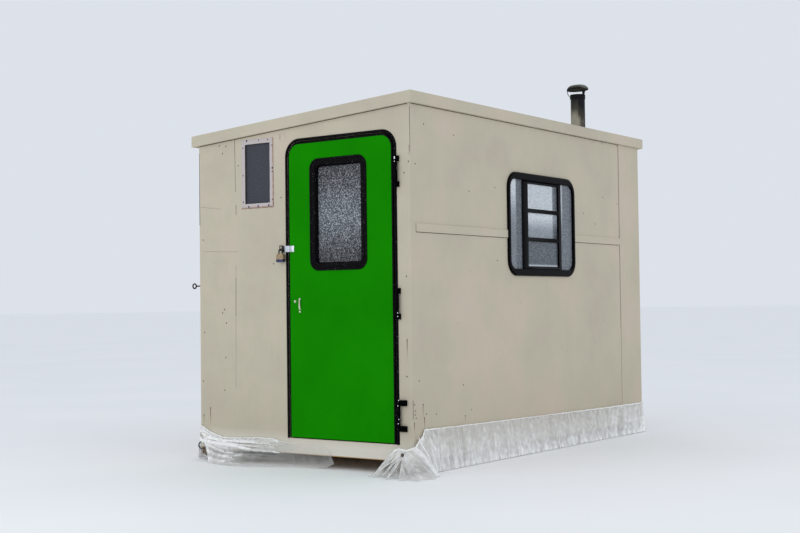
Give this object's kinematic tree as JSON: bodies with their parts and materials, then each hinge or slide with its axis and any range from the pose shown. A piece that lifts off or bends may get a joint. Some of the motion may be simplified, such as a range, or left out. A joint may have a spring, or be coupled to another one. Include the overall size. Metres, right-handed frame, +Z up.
{
  "type": "ice fishing hut",
  "caption": "Small plywood ice fishing hut on timber runners, with a shed roof, a hinged green door, side windows, a vent window and a stove pipe with rain cap.",
  "frame": {"origin": "middle of the footprint on the ground, under the runners and the skirt's hem", "axes": "+X to the right seen from the door side, +Y from the door wall to the back, +Z up"},
  "size_m": [1.93, 3.1792, 2.372],
  "materials": {
    "runner_wood": "weathered sawn timber",
    "framing_wood": "sawn softwood",
    "plywood": "plywood",
    "beige_paint": "plywood painted matt beige, weathered",
    "roof_felt": "mineral roll roofing",
    "black_frame": "black window frame",
    "glass": "frosted glass",
    "vent_metal": "pale painted flange",
    "screen": "dark insect screen",
    "rubber": "black rubber",
    "black_steel": "black painted steel",
    "zinc": "zinc plated steel",
    "brass": "tarnished laminated brass",
    "rusty_steel": "dull steel wire",
    "green_paint": "wooden door painted green",
    "chrome_pull": "worn chrome",
    "galvanised": "sooty galvanised sheet",
    "soot_steel": "sooty steel",
    "polythene": "milky polyethylene sheet"
  },
  "bodies": {
    "root": {"runner_left": "runner_wood", "runner_right": "runner_wood", "floor_joists": "framing_wood", "floor_deck": "plywood", "wall_plates": "framing_wood", "wall_studs": "framing_wood", "window_framing": "framing_wood", "rafters": "framing_wood", "roof_deck": "plywood", "roof_covering": "roof_felt", "end_fascias": "beige_paint", "side_fascias": "beige_paint", "front_wall_left": "beige_paint", "front_wall_header": "beige_paint", "front_wall_right": "beige_paint", "front_wall_sill": "beige_paint", "back_wall": "beige_paint", "right_wall_lower": "beige_paint", "right_wall_upper": "beige_paint", "right_wall_end": "beige_paint", "left_wall_lower": "beige_paint", "left_wall_upper": "beige_paint", "left_wall_end": "beige_paint", "side_battens": "beige_paint", "window_frames": "black_frame", "window_sashes": "black_frame", "window_glass": "glass", "vent_frame": "vent_metal", "vent_screen": "screen", "door_gasket": "rubber", "door_stops": "framing_wood", "hinge_brackets": "black_steel", "hasp_staple": "zinc", "padlock_body": "brass", "padlock_shackle": "zinc", "eye_screws": "rusty_steel", "stove_pipe": "galvanised", "pipe_flashing": "galvanised", "cap_bracket": "soot_steel", "rain_cap": "soot_steel", "end_skirts": "polythene", "side_skirts": "polythene", "skirt_gathers": "polythene"},
    "door": {"door_panel": "green_paint", "door_edging": "rubber", "door_window_surround": "rubber", "door_glass": "glass", "door_handle": "chrome_pull", "hinge_leaves": "black_steel", "hasp_strap": "zinc"}
  },
  "joints": [
    {"name": "door_hinge", "type": "hinge", "parent": "root", "child": "door", "pos_m": [0.693, -1.386, 1.02], "axis": [0, 0, 1], "range_deg": [0, 170]}
  ]
}
